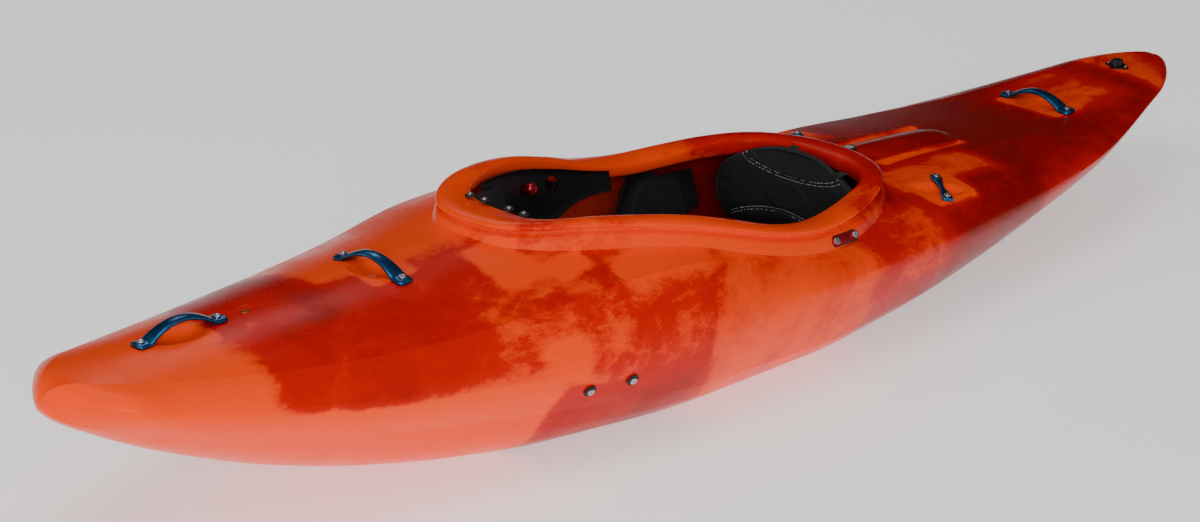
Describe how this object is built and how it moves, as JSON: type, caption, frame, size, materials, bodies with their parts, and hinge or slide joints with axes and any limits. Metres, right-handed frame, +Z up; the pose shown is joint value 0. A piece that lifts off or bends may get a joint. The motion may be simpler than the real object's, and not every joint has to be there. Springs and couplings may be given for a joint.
{
  "type": "whitewater kayak",
  "caption": "Short rockered whitewater kayak with a raised cockpit rim, carrying handles, thigh braces, seat, backrest and footrest.",
  "frame": {"origin": "middle of the length and of the beam, at the height of the lowest stretch of the keel", "axes": "+X runs from bow to stern, +Y to starboard, +Z up"},
  "size_m": [2.7488, 0.665, 0.3771],
  "materials": {
    "hull_plastic": "moulded polyethylene, marbled orange and red, satin",
    "blue_metal": "blue metallic coat",
    "stainless": "stainless steel",
    "black_plastic": "moulded black plastic, fine grain",
    "rubber": "black rubber",
    "red_metal": "red coated",
    "brass": "turned",
    "foam": "closed-cell foam, matt",
    "cloth": "woven cover over foam",
    "aluminium": "extruded"
  },
  "bodies": {
    "boat": {"hull_shell": "hull_plastic", "bow_handle": "blue_metal", "fore_handle": "blue_metal", "stern_handle": "blue_metal", "port_security_bar": "blue_metal", "starboard_security_bar": "blue_metal", "bow_handle_screw_front": "stainless", "bow_handle_screw_rear": "stainless", "fore_handle_screw_port": "stainless", "fore_handle_screw_starboard": "stainless", "stern_handle_screw_port": "stainless", "stern_handle_screw_starboard": "stainless", "drain_screw_port": "stainless", "drain_screw_starboard": "stainless", "drain_plug_flange": "black_plastic", "rear_deck_cap": "black_plastic", "seat_pan": "black_plastic", "deck_insert": "brass", "fore_pillar": "foam", "aft_pillar": "foam", "seat_pad": "cloth", "port_bar_screw_outer": "stainless", "port_bar_screw_inner": "stainless", "port_rim_bolt": "stainless", "port_hip_bolt_1": "stainless", "port_hip_bolt_2": "stainless", "port_foot_bolt_1": "stainless", "port_foot_bolt_2": "stainless", "port_hip_gasket": "rubber", "port_brace_bolt_1": "rubber", "port_brace_bolt_2": "rubber", "port_brace_mount": "black_plastic", "port_hip_plate": "red_metal", "port_hip_pad": "foam", "port_foot_rail": "aluminium", "starboard_bar_screw_outer": "stainless", "starboard_bar_screw_inner": "stainless", "starboard_rim_bolt": "stainless", "starboard_hip_bolt_1": "stainless", "starboard_hip_bolt_2": "stainless", "starboard_foot_bolt_1": "stainless", "starboard_foot_bolt_2": "stainless", "starboard_hip_gasket": "rubber", "starboard_brace_bolt_1": "rubber", "starboard_brace_bolt_2": "rubber", "starboard_brace_mount": "black_plastic", "starboard_hip_plate": "red_metal", "starboard_hip_pad": "foam", "starboard_foot_rail": "aluminium"},
    "drain_bung": {"drain_plug_bung": "black_plastic"},
    "port_knob": {"port_brace_knob": "red_metal"},
    "starboard_knob": {"starboard_brace_knob": "red_metal"},
    "port_brace": {"port_thigh_brace": "black_plastic"},
    "starboard_brace": {"starboard_thigh_brace": "black_plastic"},
    "footrest": {"footrest_plate": "black_plastic", "footrest_pad": "foam"},
    "backrest": {"backrest_shell": "black_plastic", "backrest_pad": "cloth"},
    "leg_lifter": {"leg_lifter": "foam"}
  },
  "joints": [
    {"name": "drain_bung_turn", "type": "hinge", "parent": "boat", "child": "drain_bung", "pos_m": [1.252, 0, 0.23933], "axis": [-0.0657, 0, 0.9978], "continuous": true},
    {"name": "port_knob_turn", "type": "hinge", "parent": "boat", "child": "port_knob", "pos_m": [-0.215, -0.17945, 0.29573], "axis": [0.1696, 0.9426, 0.2875], "continuous": true},
    {"name": "starboard_knob_turn", "type": "hinge", "parent": "boat", "child": "starboard_knob", "pos_m": [-0.215, 0.17945, 0.29573], "axis": [0.1696, -0.9426, 0.2875], "continuous": true},
    {"name": "port_brace_slide", "type": "slide", "parent": "boat", "child": "port_brace", "axis": [0.9842, -0.1771, 0], "range_m": [-0.012, 0.012]},
    {"name": "starboard_brace_slide", "type": "slide", "parent": "boat", "child": "starboard_brace", "axis": [0.9842, 0.1771, 0], "range_m": [-0.012, 0.012]},
    {"name": "footrest_slide", "type": "slide", "parent": "boat", "child": "footrest", "axis": [1, 0, 0], "range_m": [-0.09, 0.09]},
    {"name": "backrest_tilt", "type": "hinge", "parent": "boat", "child": "backrest", "pos_m": [0.28183, 0, 0.104], "axis": [0, 1, 0], "range_deg": [-50, 3]},
    {"name": "leg_lifter_tilt", "type": "hinge", "parent": "boat", "child": "leg_lifter", "pos_m": [0.02, 0, 0.0213], "axis": [0, 1, 0], "range_deg": [0, 15]}
  ]
}
